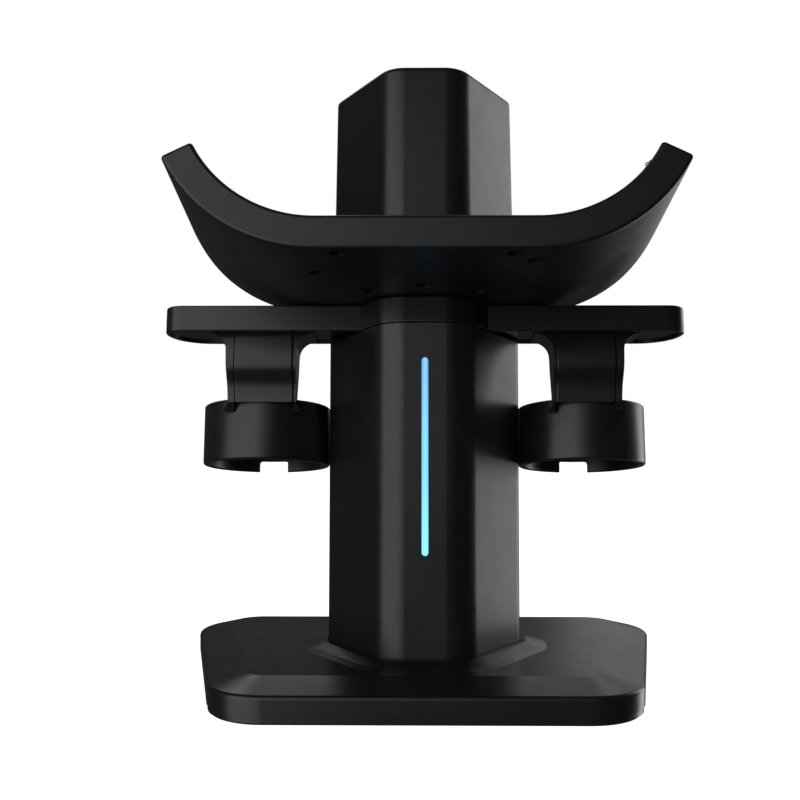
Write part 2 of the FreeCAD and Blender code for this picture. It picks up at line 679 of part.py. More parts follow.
arm_body, arm_panel = arm_solids()
for shape in (arm_body, arm_panel):
    shape.translate(V(size("arm_across"), 0, 0))
for x, y in ARM_SEATS:
    arm_body = arm_body.cut(rod(x, y, -7.0, PILOT, 10, UP))
contact_block = Part.makeBox(10.6, 7.6, 5.0, V(size("ring_across") - 5.3, ARM_BACK - 7.7,
                                               PIN_DROP - 2.5))
for step in (-PIN_STEP, PIN_STEP):
    x = size("ring_across") + step
    contact_block = contact_block.cut(rod(x, ARM_BACK - 6.4, PIN_DROP, BARREL, 4.5, BACK))
    contact_block = contact_block.cut(rod(x, ARM_BACK - 9.4, PIN_DROP, PIN_HOLE, 20, BACK))
for side, word in ((-1, "left"), (1, "right")):
    feature(f"{word}_arm", on_side(arm_body, side), HEAD)
    feature(f"{word}_arm_panel", on_side(arm_panel, side), HEAD)
    ring = ring_solid()
    ring.translate(V(side * size("ring_across"), size("ring_back"), -DROP - size("ring_tall")))
    feature(f"{word}_ring", ring, HEAD)
    feature(f"{word}_contact_block", on_side(contact_block, side), HEAD)

for side, word in ((-1, "left"), (1, "right")):
    for step, place in ((-PIN_STEP, "inner"), (PIN_STEP, "outer")):
        pin = spring_pin(size("pin_reach"), 3.5, 4.5)
        pin.Placement = FreeCAD.Placement(V(side * (size("ring_across") + step), ARM_BACK, PIN_DROP),
                                          FreeCAD.Rotation(UP, BACK))
        feature(f"{word}_{place}_pin", pin, HEAD)

# ---------------------------------------------------------------- cradle
BAND = size("cradle_band")
CRADLE_LOW = BAR_THICK + SEAM
CRADLE_FRONT = size("cradle_front")
CRADLE_BACK = CRADLE_FRONT + size("cradle_deep")
BEND_Z = CRADLE_LOW + size("cradle_outer")


def u_wire(flat, outer, inner, angle, depth):
    """U-shaped outline in the plane at a depth: flat middle, two bends, radial ends."""
    sweep = math.radians(angle)
    middle = math.radians((angle + 90) / 2)

    def on(side, radius, turn):
        return V(side * (flat + radius * math.cos(turn)), depth, BEND_Z - radius * math.sin(turn))

    flat_low = BEND_Z - outer
    flat_high = BEND_Z - inner
    edges = [
        Part.LineSegment(V(-flat, depth, flat_low), V(flat, depth, flat_low)),
        Part.Arc(V(flat, depth, flat_low), on(1, outer, middle), on(1, outer, sweep)),
        Part.LineSegment(on(1, outer, sweep), on(1, inner, sweep)),
        Part.Arc(on(1, inner, sweep), on(1, inner, middle), V(flat, depth, flat_high)),
        Part.LineSegment(V(flat, depth, flat_high), V(-flat, depth, flat_high)),
        Part.Arc(V(-flat, depth, flat_high), on(-1, inner, middle), on(-1, inner, sweep)),
        Part.LineSegment(on(-1, inner, sweep), on(-1, outer, sweep)),
        Part.Arc(on(-1, outer, sweep), on(-1, outer, middle), V(-flat, depth, flat_low)),
    ]
    return Part.Wire([edge.toShape() for edge in edges])


def u_solid(outer, inner, angle, front, back):
    """Flared U-shaped solid between two depths."""
    flat, flare = size("cradle_flat"), size("cradle_flare")

    def flat_at(depth):
        return flat + flare * (depth - CRADLE_FRONT) / size("cradle_deep")

    return Part.makeLoft([u_wire(flat_at(front), outer, inner, angle, front),
                          u_wire(flat_at(back), outer, inner, angle, back)], True, True)


def horn_cutter(inset):
    """What the rounded back corners of the horns leave away, seen from the side."""
    radius = size("horn_round") - inset
    back = CRADLE_BACK - inset
    top = BEND_Z - (size("cradle_outer") - BAND) * math.sin(math.radians(size("horn_angle"))) - inset
    centre_u, centre_n = back - radius, top - radius
    corner = [V(-150, centre_u, top + 30), V(-150, back + 30, top + 30), V(-150, back + 30, centre_n)]
    middle = V(-150, centre_u + radius * math.cos(math.pi / 4),
               centre_n + radius * math.sin(math.pi / 4))
    edges = [Part.LineSegment(V(-150, centre_u, top), corner[0]), Part.LineSegment(corner[0], corner[1]),
             Part.LineSegment(corner[1], corner[2]), Part.LineSegment(corner[2], V(-150, back, centre_n)),
             Part.Arc(V(-150, back, centre_n), middle, V(-150, centre_u, top))]
    return Part.Face(Part.Wire([edge.toShape() for edge in edges])).extrude(V(300, 0, 0))


CRADLE_SEATS = [(-28.9, -49.7), (28.9, -49.7), (-36.8, -27.9), (36.1, -41.5),
                (-19.5, -4.5), (19.5, -4.5), (0.0, -11.7)]
SKIN = 2.0
RIM_ROUND = 1.3
outer_r = size("cradle_outer")
inner_r = outer_r - BAND
horn = size("horn_angle")
TONGUE_TOP = CRADLE_LOW + BAND


CHARGE_TURN = math.radians(size("charge_turn"))
CHARGE_U = CRADLE_FRONT + size("charge_back")
CHARGE_FLAT = size("cradle_flat") + size("cradle_flare") * size("charge_back") / size("cradle_deep")
CHARGE_SPOT = V(CHARGE_FLAT + inner_r * math.cos(CHARGE_TURN), CHARGE_U,
                BEND_Z - inner_r * math.sin(CHARGE_TURN))
CHARGE_AXIS = V(-math.cos(CHARGE_TURN), 0, math.sin(CHARGE_TURN))
CHARGE_PLACE = FreeCAD.Placement(CHARGE_SPOT, FreeCAD.Rotation(UP, CHARGE_AXIS))
CHARGE_RADIUS = 1.9
CHARGE_PROUD = 1.0


def charge_block():
    """Round contact block along +Z: its nose, the flange behind the skin and the barrel."""
    block = rod(0, 0, -5.0, CHARGE_RADIUS, 5.0 + CHARGE_PROUD, UP)
    block = block.makeFillet(0.4, [edge for edge in block.Edges
                                   if edge.BoundBox.ZMin > CHARGE_PROUD - 1e-4])
    flange = rod(0, 0, -3.6, 2.4, 1.3, UP)
    barrel = rod(0, 0, -4.0, BARREL, 4.1, UP)
    return block.fuse(flange).cut(barrel).cut(rod(0, 0, -4.0, PIN_HOLE, 8.0, UP))


def cradle_lower():
    """Lower shell: outer skin, front band, tongue under the pillar and screw bosses."""
    full = u_solid(outer_r, inner_r, horn, CRADLE_FRONT, CRADLE_BACK).cut(horn_cutter(0))
    front = [edge for edge in full.Edges
             if edge.BoundBox.YMax < CRADLE_FRONT + 1e-4]
    ends = [edge for edge in full.Edges
            if edge.BoundBox.YLength > 30 and edge.BoundBox.ZMin > CRADLE_LOW + 20]
    full = full.makeFillet(RIM_ROUND, front + ends)
    hollow = u_solid(outer_r - WALL, inner_r - 1, horn + 4.0, CRADLE_FRONT + 3.0,
                     CRADLE_BACK - 3.0).cut(horn_cutter(3.0))
    tongue = prism(section(-0.45), CRADLE_LOW, TONGUE_TOP)
    tongue = tongue.cut(Part.makeBox(200, 200, 100, V(-100, CRADLE_BACK - 3.0 - 200, 0)))
    tongue_hollow = prism(section(-0.45 - WALL), CRADLE_LOW + WALL, TONGUE_TOP - SKIN)
    shell = full.cut(hollow).fuse(tongue).cut(
        tongue_hollow.cut(Part.makeBox(200, 200, 100, V(-100, CRADLE_BACK - 200, 0))))
    for x, y in CRADLE_SEATS:
        shell = shell.fuse(rod(x, y, CRADLE_LOW + 0.5, 3.4, BAND - SKIN - 0.8, UP))
    for x, y in CRADLE_SEATS:
        shell = shell.cut(rod(x, y, CRADLE_LOW - 1, size("screw_head") + 0.25, 1 + 3.0, UP))
        shell = shell.cut(rod(x, y, CRADLE_LOW - 1, 1.6, 30, UP))
    return shell


def cradle_upper():
    """Upper shell: the skin that the headset lies in, let in between front and back walls."""
    skin = u_solid(inner_r + SKIN, inner_r, horn + 4.3, CRADLE_FRONT + 3.2, CRADLE_BACK - 3.2)
    skin = skin.cut(horn_cutter(3.3))
    for x, y in CRADLE_SEATS:
        boss = rod(x, y, TONGUE_TOP - SKIN - 0.25, 2.6, 1.5, UP)
        skin = skin.fuse(boss).cut(rod(x, y, TONGUE_TOP - SKIN - 1, PILOT, 2.4, UP))
    hole = rod(0, 0, -4.0, CHARGE_RADIUS + 0.1, 8.0, UP)
    hole.Placement = CHARGE_PLACE
    return skin.cut(hole)


feature("cradle_lower_shell", cradle_lower(), HEAD)
feature("cradle_upper_shell", cradle_upper(), HEAD)
feature("charge_block", charge_block(), HEAD.multiply(CHARGE_PLACE))
feature("charge_pin", spring_pin(CHARGE_PROUD + 0.7, 1.5, 2.4), HEAD.multiply(CHARGE_PLACE))
screws("cradle_screws", [(x, y, CRADLE_LOW + 2.95) for x, y in CRADLE_SEATS], (0, 0, 1), 6.6, HEAD)
pad_outline = rectangle(-32.0, 32.0, CRADLE_FRONT + 10, -6.0, 5.0)
plate_body("cradle_pad", pad_outline, f"{TONGUE_TOP + 0.05} mm", "0.8 mm", [], HEAD)

# ---------------------------------------------------------------- pillar
PILLAR_LOW = TONGUE_TOP + 0.1
PILLAR_TOP = size("pillar_top")
PILLAR_SEATS = [(x, z) for z in (38.0, 84.0) for x in (-14.0, 14.0)]


def pillar_shells():
    """Front and rear shells of the pillar, closed by its flat top."""
    draft = size("pillar_draft")
    solid = tapered(pillar_section(0), PILLAR_LOW, pillar_section(-draft), PILLAR_TOP)
    brow = [edge for edge in solid.Edges if edge.BoundBox.ZMin > PILLAR_TOP - 1e-4]
    solid = solid.makeFillet(2.2, brow)
    hollow = tapered(pillar_section(-WALL), PILLAR_LOW - 1,
                     pillar_section(-draft - WALL), PILLAR_TOP - WALL)
    shell = solid.cut(hollow)
    front, rear = split_solid(shell, True), split_solid(shell, False)
    split = size("shell_split")
    for x, z in PILLAR_SEATS:
        front = front.fuse(rod(x, split, z, POST_RADIUS, split, -BACK).common(solid))
        rear = rear.fuse(rod(x, split, z, POST_RADIUS + 0.6, 30, BACK).common(solid))
    for x, z in PILLAR_SEATS:
        front = front.cut(rod(x, split + 1, z, PILOT, 16, -BACK))
        rear = rear.cut(rod(x, split - 1, z, 1.7, 30, BACK))
        rear = rear.cut(rod(x, SEAT_DEPTH, z, 3.1, 30, BACK))
    return front, rear


pillar_front, pillar_rear = pillar_shells()
feature("pillar_front_shell", pillar_front, HEAD)
feature("pillar_rear_shell", pillar_rear, HEAD)
screws("pillar_screws", [(x, SEAT_DEPTH, z) for x, z in PILLAR_SEATS], (0, -1, 0), 22.0, HEAD)

# ---------------------------------------------------------------- check and write
doc.recompute()
for item in doc.Objects:
    for state in item.State:
        if state in ("Invalid", "Error"):
            raise RuntimeError(f"{item.Label}: {item.State}")
for item in NODES:
    shape = item.Shape
    if shape.isNull() or not shape.isValid() or not shape.Solids:
        raise RuntimeError(f"{item.Label} has no sound shape")
os.makedirs("parts", exist_ok=True)
low, high = V(1e9, 1e9, 1e9), V(-1e9, -1e9, -1e9)
for item in NODES:
    item.Shape.exportStep(f"parts/{item.Label}.step")
    box = item.Shape.optimalBoundingBox()
    low = V(min(low.x, box.XMin), min(low.y, box.YMin), min(low.z, box.ZMin))
    high = V(max(high.x, box.XMax), max(high.y, box.YMax), max(high.z, box.ZMax))
    print(f"{item.Label:24s} {len(item.Shape.Solids):3d} solids {item.Shape.Volume:11.1f} mm3")
print("nodes", len(NODES), "box", low, high)
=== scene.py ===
# %% [markdown]
# # A charging stand for a headset and two hand controllers
# The stand is satin black moulded plastic on a bevelled base. Its measured shapes come from the
# imported frame, so this lesson is about finishes, light and the small parts that repeat: screws,
# light chips, the two controller rings and the soft pads. Lengths are in metres. The base stands
# on Z = 0, X runs to the viewer's right and Y to the back.

# %% Load the frame and its record
import bpy
import bmesh
import json
import math
from mathutils import Euler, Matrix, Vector


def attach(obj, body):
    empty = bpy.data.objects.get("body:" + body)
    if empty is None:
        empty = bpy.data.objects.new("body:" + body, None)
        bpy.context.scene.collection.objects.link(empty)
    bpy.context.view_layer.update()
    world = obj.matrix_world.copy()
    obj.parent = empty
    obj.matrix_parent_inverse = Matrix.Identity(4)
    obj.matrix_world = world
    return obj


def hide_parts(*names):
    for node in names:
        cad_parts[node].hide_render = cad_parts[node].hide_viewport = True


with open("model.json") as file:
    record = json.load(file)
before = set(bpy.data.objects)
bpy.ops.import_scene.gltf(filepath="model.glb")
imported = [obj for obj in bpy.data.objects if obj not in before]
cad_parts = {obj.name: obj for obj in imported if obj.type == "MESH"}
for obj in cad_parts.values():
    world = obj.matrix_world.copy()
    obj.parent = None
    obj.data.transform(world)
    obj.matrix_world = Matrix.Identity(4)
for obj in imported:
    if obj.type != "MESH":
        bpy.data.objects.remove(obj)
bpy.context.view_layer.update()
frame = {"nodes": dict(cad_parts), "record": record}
nodes = frame["nodes"]

# %% [markdown]
# ## Places shared by several parts
# All that stands on the column leans back by ten degrees. A helper turns a place given as width,
# depth behind the column's face and height above its top edge into a place in the room. It is
# the same rule as the maker's drawing, so parts made here meet the measured ones.

# %% The leaning head of the stand
MM = 0.001
LEAN = math.radians(10.0)
COLUMN_FACE = -27.5
COLUMN_TOP = 140.2


def on_head(x, depth, height):
    """Place in the room, in metres, of a place on the leaning head, in millimetres."""
    y = COLUMN_FACE + depth * math.cos(LEAN) + height * math.sin(LEAN)
    z = COLUMN_TOP - depth * math.sin(LEAN) + height * math.cos(LEAN)
    return Vector((x, y, z)) * MM


print("column's top front edge at", tuple(round(v, 4) for v in on_head(0, 0, 0)))

# %% [markdown]
# ## Finishes as small node trees
# Every finish starts from the same three ideas: a colour that drifts a little over the part, a
# roughness that drifts more, and a grain that only the bump carries. Patterns read Object
# coordinates, so they stay in the plastic when a part moves. One helper adds nodes, so each
# finish below stays short enough to read.

# %% Helpers for finishes


def fresh_finish(name):
    """New material with its tree, shader and object coordinates."""
    material = bpy.data.materials.new(name)
    material.use_nodes = True
    tree = material.node_tree
    shader = tree.nodes["Principled BSDF"]
    place = tree.nodes.new("ShaderNodeTexCoord").outputs["Object"]
    return material, tree, shader, place


def noise(tree, place, scale, detail=2.0, rough=0.5):
    """Noise texture on object coordinates; scale counts features per metre."""
    texture = tree.nodes.new("ShaderNodeTexNoise")
    texture.inputs["Scale"].default_value = scale
    texture.inputs["Detail"].default_value = detail
    texture.inputs["Roughness"].default_value = rough
    tree.links.new(place, texture.inputs["Vector"])
    return texture.outputs["Fac"]


def ranged(tree, value, low, high, from_low=0.3, from_high=0.7):
    """A value spread from one range to another."""
    spread = tree.nodes.new("ShaderNodeMapRange")
    spread.inputs["From Min"].default_value = from_low
    spread.inputs["From Max"].default_value = from_high
    spread.inputs["To Min"].default_value = low
    spread.inputs["To Max"].default_value = high
    tree.links.new(value, spread.inputs["Value"])
    return spread.outputs["Result"]


def blended(tree, factor, first, second):
    """Colour between two colours; either may be a socket."""
    mix = tree.nodes.new("ShaderNodeMix")
    mix.data_type = "RGBA"
    tree.links.new(factor, mix.inputs["Factor"])
    for socket, colour in ((mix.inputs[6], first), (mix.inputs[7], second)):
        if hasattr(colour, "is_output"):
            tree.links.new(colour, socket)
        else:
            socket.default_value = (*colour, 1.0)
    return mix.outputs[2]


def calculated(tree, operation, first, second):
    """Sum, product or other result of two values; either may be a socket."""
    math_node = tree.nodes.new("ShaderNodeMath")
    math_node.operation = operation
    for socket, value in zip(math_node.inputs, (first, second)):
        if hasattr(value, "is_output"):
            tree.links.new(value, socket)
        else:
            socket.default_value = value
    return math_node.outputs[0]


def bumped(tree, shader, height, strength, distance):
    """Bump from a height, on the shader."""
    bump = tree.nodes.new("ShaderNodeBump")
    bump.inputs["Strength"].default_value = strength
    bump.inputs["Distance"].default_value = distance
    tree.links.new(height, bump.inputs["Height"])
    tree.links.new(bump.outputs["Normal"], shader.inputs["Normal"])


def worn_edges(tree, radius):
    """Mask that is 1 on outer edges, where hands and cloths polish the grain away."""
    bevel = tree.nodes.new("ShaderNodeBevel")
    bevel.samples = 4
    bevel.inputs["Radius"].default_value = radius
    flat = tree.nodes.new("ShaderNodeNewGeometry")
    dot = tree.nodes.new("ShaderNodeVectorMath")
    dot.operation = "DOT_PRODUCT"
    tree.links.new(bevel.outputs["Normal"], dot.inputs[0])
    tree.links.new(flat.outputs["Normal"], dot.inputs[1])
    return ranged(tree, dot.outputs["Value"], 1.0, 0.0, 0.86, 0.99)


# %% [markdown]
# ## Satin black plastic
# The shells are moulded in black with a fine spark-eroded grain. The plastic itself is nearly
# without colour; what shows is how widely it spreads the studio's light. Roughness near 0.3
# gives the broad soft bands on the column, and the grain is only a few hundredths of a
# millimetre high. Edges are a little smoother and lighter than the faces.

# %% Satin black, in three degrees of gloss


def moulded_black(name, roughness, tone, grain):
    """Black moulded plastic with grain, faint flow marks and handled edges."""
    material, tree, shader, place = fresh_finish(name)
    drift = noise(tree, place, 22.0, 3.0)
    cloud = noise(tree, place, 160.0, 3.0, 0.6)
    specks = noise(tree, place, grain, 2.0, 0.65)
    handled = worn_edges(tree, 0.0007)
    body = blended(tree, ranged(tree, drift, 0.0, 1.0), [c * 0.82 for c in tone],
                   [c * 1.18 for c in tone])
    speckled = blended(tree, ranged(tree, specks, 0.0, 0.35), body, [c * 2.2 for c in tone])
    edged = blended(tree, calculated(tree, "MULTIPLY", handled, 0.5), speckled,
                    [c * 2.6 for c in tone])
    tree.links.new(edged, shader.inputs["Base Color"])
    dull = calculated(tree, "ADD", ranged(tree, cloud, -0.025, 0.025),
                      ranged(tree, drift, roughness - 0.02, roughness + 0.02))
    dull = calculated(tree, "SUBTRACT", dull, calculated(tree, "MULTIPLY", handled, 0.06))
    tree.links.new(dull, shader.inputs["Roughness"])
    bumped(tree, shader, specks, 0.22, 0.00003)
    shader.inputs["IOR"].default_value = 1.5
    return material


BLACK = (0.0065, 0.0065, 0.0070)
finishes = {
    "black_shell": moulded_black("satin_black_shell", 0.31, BLACK, 2600.0),
    "contact_block": moulded_black("contact_insulator", 0.28, (0.010, 0.010, 0.011), 4200.0),
}
ring_black = moulded_black("satin_black_ring", 0.33, BLACK, 3000.0)
tray_black = moulded_black("satin_black_tray", 0.38, BLACK, 2600.0)
print("black finishes:", [m.name for m in bpy.data.materials if "black" in m.name])

# %% [markdown]
# ## Soft silicone
# The pads are matt silicone. It has no gloss to speak of, picks up a little dust, and its skin
# is finer than the shells' grain. A trace of sheen stands for the dust at grazing angles.

# %% Silicone for the pads


def silicone(name, tone):
    """Matt silicone with a soft skin and a little dust."""
    material, tree, shader, place = fresh_finish(name)
    dust = noise(tree, place, 900.0, 4.0, 0.7)
    drift = noise(tree, place, 30.0, 2.0)
    base = blended(tree, ranged(tree, drift, 0.0, 1.0), [c * 0.85 for c in tone],
                   [c * 1.15 for c in tone])
    dusty = blended(tree, ranged(tree, dust, 0.0, 0.5, 0.58, 0.75), base, [c * 2.5 for c in tone])
    tree.links.new(dusty, shader.inputs["Base Color"])
    tree.links.new(ranged(tree, drift, 0.72, 0.86), shader.inputs["Roughness"])
    shader.inputs["Sheen Weight"].default_value = 0.08
    bumped(tree, shader, noise(tree, place, 5200.0, 2.0), 0.25, 0.00002)
    return material


finishes["soft_pad"] = silicone("grey_black_silicone", (0.012, 0.012, 0.013))
print("pad finish made")

# %% [markdown]
# ## Metals
# Zinc plate, black oxide, nickel and gold differ in colour, in how rough they are and in the
# direction of their marks. Stretched noise gives the fine lines that rolling or turning leaves.

# %% Plated and blackened metals


def plated(name, tone, roughness, stretch, mark=1400.0):
    """Metal with marks drawn out along one axis and a cloudy plating."""
    material, tree, shader, place = fresh_finish(name)
    mapping = tree.nodes.new("ShaderNodeMapping")
    mapping.inputs["Scale"].default_value = stretch
    tree.links.new(place, mapping.inputs["Vector"])
    lines = noise(tree, mapping.outputs["Vector"], mark, 3.0, 0.6)
    cloud = noise(tree, place, 120.0, 3.0)
    tree.links.new(blended(tree, ranged(tree, cloud, 0.0, 1.0), [c * 0.86 for c in tone], tone),
                   shader.inputs["Base Color"])
    rough = calculated(tree, "ADD", ranged(tree, lines, -0.06, 0.06),
                       ranged(tree, cloud, roughness - 0.04, roughness + 0.04))
    tree.links.new(rough, shader.inputs["Roughness"])
    shader.inputs["Metallic"].default_value = 1.0
    bumped(tree, shader, lines, 0.18, 0.00002)
    return material


finishes["zinc_steel"] = plated("zinc_plated_steel", (0.58, 0.59, 0.60), 0.36, (1.0, 0.08, 1.0))
finishes["dark_screw"] = plated("black_oxide_screw", (0.045, 0.045, 0.05), 0.42, (1.0, 1.0, 0.2), 2600.0)
finishes["socket_steel"] = plated("nickel_socket", (0.62, 0.61, 0.58), 0.26, (0.1, 1.0, 1.0), 2600.0)
finishes["gold_contact"] = plated("gold_plated_contact", (0.93, 0.68, 0.27), 0.20, (1.0, 1.0, 1.0), 3800.0)
print("metal finishes:", len([m for m in finishes.values() if m]))

# %% [markdown]
# ## Boards, chips and wires
# The boards sit inside, but a part that is opened should look right. Solder mask is a green
# lacquer over copper, so a faint pattern of tracks shifts its colour. The wires run in a braided
# sleeve; two crossed wave bands give the braid.

# %% Solder mask, chip packages and braid


def solder_mask(name):
    """Green lacquer over copper tracks."""
    material, tree, shader, place = fresh_finish(name)
    tracks = tree.nodes.new("ShaderNodeTexBrick")
    tracks.inputs["Scale"].default_value = 160.0
    tracks.inputs["Mortar Size"].default_value = 0.03
    tracks.inputs["Color1"].default_value = (0.010, 0.075, 0.035, 1.0)
    tracks.inputs["Color2"].default_value = (0.012, 0.090, 0.042, 1.0)
    tracks.inputs["Mortar"].default_value = (0.030, 0.140, 0.060, 1.0)
    tree.links.new(place, tracks.inputs["Vector"])
    tree.links.new(tracks.outputs["Color"], shader.inputs["Base Color"])
    tree.links.new(ranged(tree, noise(tree, place, 300.0), 0.22, 0.34), shader.inputs["Roughness"])
    bumped(tree, shader, tracks.outputs["Fac"], 0.3, 0.00003)
    return material


def braided(name):
    """Braided sleeve of the wires."""
    material, tree, shader, place = fresh_finish(name)
    bands = []
    for turn in (0.7, -0.7):
        mapping = tree.nodes.new("ShaderNodeMapping")
        mapping.inputs["Rotation"].default_value = (turn, turn, 0.0)
        tree.links.new(place, mapping.inputs["Vector"])
        wave = tree.nodes.new("ShaderNodeTexWave")
        wave.inputs["Scale"].default_value = 420.0
        tree.links.new(mapping.outputs["Vector"], wave.inputs["Vector"])
        bands.append(wave.outputs["Fac"])
    weave = calculated(tree, "MAXIMUM", bands[0], bands[1])
    tree.links.new(blended(tree, weave, (0.006, 0.006, 0.006), (0.028, 0.028, 0.03)),
                   shader.inputs["Base Color"])
    tree.links.new(ranged(tree, weave, 0.8, 0.55, 0.0, 1.0), shader.inputs["Roughness"])
    bumped(tree, shader, weave, 0.6, 0.0001)
    return material


def chip_package(name):
    """White ceramic package whose top glows with the colour of the light."""
    material, tree, shader, place = fresh_finish(name)
    mottle = noise(tree, place, 2400.0, 2.0)
    tree.links.new(blended(tree, mottle, (0.72, 0.73, 0.68), (0.86, 0.86, 0.80)),
                   shader.inputs["Base Color"])
    tree.links.new(ranged(tree, mottle, 0.4, 0.55), shader.inputs["Roughness"])
    shader.inputs["Emission Color"].default_value = (0.30, 0.75, 1.0, 1.0)
    shader.inputs["Emission Strength"].default_value = 1.5
    return material


finishes["circuit_board"] = solder_mask("green_solder_mask")
finishes["wire_sleeve"] = braided("braided_wire_sleeve")
finishes["led_chip"] = chip_package("light_chip_package")
print("inner finishes made")

# %% [markdown]
# ## The light bar
# The milky bar is lit from behind by a row of chips. Its colour runs from blue at the top to
# cyan at the bottom, and it is a touch brighter in the middle of its width. A ramp along the
# height gives the colour. The bar glows no brighter than it looks, so it doesn't bleach out.

# %% Milky lit plastic
BAR_LOW = 0.0544
BAR_HIGH = 0.1271


def lit_bar(name):
    """Milky plastic whose glow runs from cyan at the foot to blue at the top."""
    material, tree, shader, place = fresh_finish(name)
    parts = tree.nodes.new("ShaderNodeSeparateXYZ")
    tree.links.new(place, parts.inputs["Vector"])
    along = ranged(tree, parts.outputs["Z"], 0.0, 1.0, BAR_LOW, BAR_HIGH)
    ramp = tree.nodes.new("ShaderNodeValToRGB")
    ramp.color_ramp.interpolation = "EASE"
    ramp.color_ramp.elements[0].color = (0.22, 0.93, 0.96, 1.0)
    ramp.color_ramp.elements[1].color = (0.10, 0.38, 0.90, 1.0)
    middle = ramp.color_ramp.elements.new(0.5)
    middle.color = (0.14, 0.62, 0.92, 1.0)
    tree.links.new(along, ramp.inputs["Fac"])
    edge = calculated(tree, "ABSOLUTE", parts.outputs["X"], 0.0)
    core = ranged(tree, edge, 0.5, 0.0, 0.0002, 0.0010)
    tree.links.new(blended(tree, core, ramp.outputs["Color"], (0.38, 0.84, 0.98)),
                   shader.inputs["Emission Color"])
    shader.inputs["Emission Strength"].default_value = 1.0
    milk = noise(tree, place, 700.0, 3.0)
    tree.links.new(blended(tree, milk, (0.10, 0.14, 0.16), (0.13, 0.18, 0.20)),
                   shader.inputs["Base Color"])
    tree.links.new(ranged(tree, milk, 0.30, 0.42), shader.inputs["Roughness"])
    return material


finishes["light_bar"] = lit_bar("milky_light_bar")
print("all slots have a finish:", sorted(finishes))

# %% [markdown]
# ## Dress the measured parts
# Each measured part names its finish through its slot in the record. The tray and the rings get
# their own degree of gloss: the tray is a shade duller than the column.

# %% Assign the finishes
slot_of = {part["node"]: part["material_slot"] for part in frame["record"]["subparts"]}
for name, item in nodes.items():
    finish = finishes[slot_of[name]]
    if name.startswith("cradle_") and slot_of[name] == "black_shell":
        finish = tray_black
    for place_index in range(len(item.data.materials)):
        item.data.materials[place_index] = finish
print("dressed", len(nodes), "measured parts")

# %% [markdown]
# ## Geometry Nodes for what repeats
# The stand is held together by twenty-nine identical pan-head screws. Modelling one and copying
# it by hand would work, but a node tree states the rule once: make a screw, put one on every
# point. The tree has named inputs for its sizes, and each set of screws only differs in its
# points, its direction and its shank. The head is a cylinder whose rim is pulled in along a
# quarter curve, the hexagon is cut out of it, and the shank's thread is a wave that climbs as
# it goes round.

# %% Helpers for node trees


def new_tree(name, sizes):
    """Geometry tree with a geometry in and out and named inputs: floats, vectors or a finish."""
    tree = bpy.data.node_groups.new(name, "GeometryNodeTree")
    tree.interface.new_socket("Geometry", in_out="INPUT", socket_type="NodeSocketGeometry")
    for label, kind, value in sizes:
        socket = tree.interface.new_socket(label, in_out="INPUT", socket_type=f"NodeSocket{kind}")
        if value is not None:
            socket.default_value = value
    tree.interface.new_socket("Geometry", in_out="OUTPUT", socket_type="NodeSocketGeometry")
    return tree, tree.nodes.new("NodeGroupInput").outputs, tree.nodes.new("NodeGroupOutput").inputs[0]


def step(tree, kind, links=(), **settings):
    """Node with its settings, its numbers and what is plugged into it."""
    node = tree.nodes.new(kind)
    for key, value in settings.items():
        setattr(node, key, value)
    for socket, value in links:
        if hasattr(value, "is_output"):
            tree.links.new(value, node.inputs[socket])
        else:
            node.inputs[socket].default_value = value
    return node.outputs


def sum_of(tree, operation, *values):
    """Result of a calculation on numbers or sockets."""
    return step(tree, "ShaderNodeMath", list(enumerate(values)), operation=operation)[0]


def grown(name, start, tree, values, body, slot, *stands_for):
    """Piece made by a tree from a starting mesh, turned into a plain mesh."""
    item = bpy.data.objects.new(name, start)
    bpy.context.collection.objects.link(item)
    modifier = item.modifiers.new("grow", "NODES")
    modifier.node_group = tree
    for socket in tree.interface.items_tree:
        if socket.item_type == "SOCKET" and socket.in_out == "INPUT" and socket.name in values:
            modifier[socket.identifier] = values[socket.name]
    bpy.context.view_layer.update()
    ready = item.evaluated_get(bpy.context.evaluated_depsgraph_get())
    mesh = bpy.data.meshes.new_from_object(ready)
    item.modifiers.remove(modifier)
    item.data = mesh
    mesh.name = name
    smooth(mesh, 32.0)
    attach(item, body)
    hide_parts(*stands_for)
    print(f"{name}: {len(mesh.polygons)} faces")
    return item


def smooth(mesh, angle):
    """Shade a mesh smooth, but keep corners sharper than the angle crisp."""
    mesh.polygons.foreach_set("use_smooth", [True] * len(mesh.polygons))
    mesh.set_sharp_from_angle(angle=math.radians(angle))
    mesh.update()


def points_mesh(name, places):
    """Mesh of loose points."""
    mesh = bpy.data.meshes.new(name)
    mesh.from_pydata([tuple(place) for place in places], [], [])
    return mesh


# %% One pan-head screw on every point


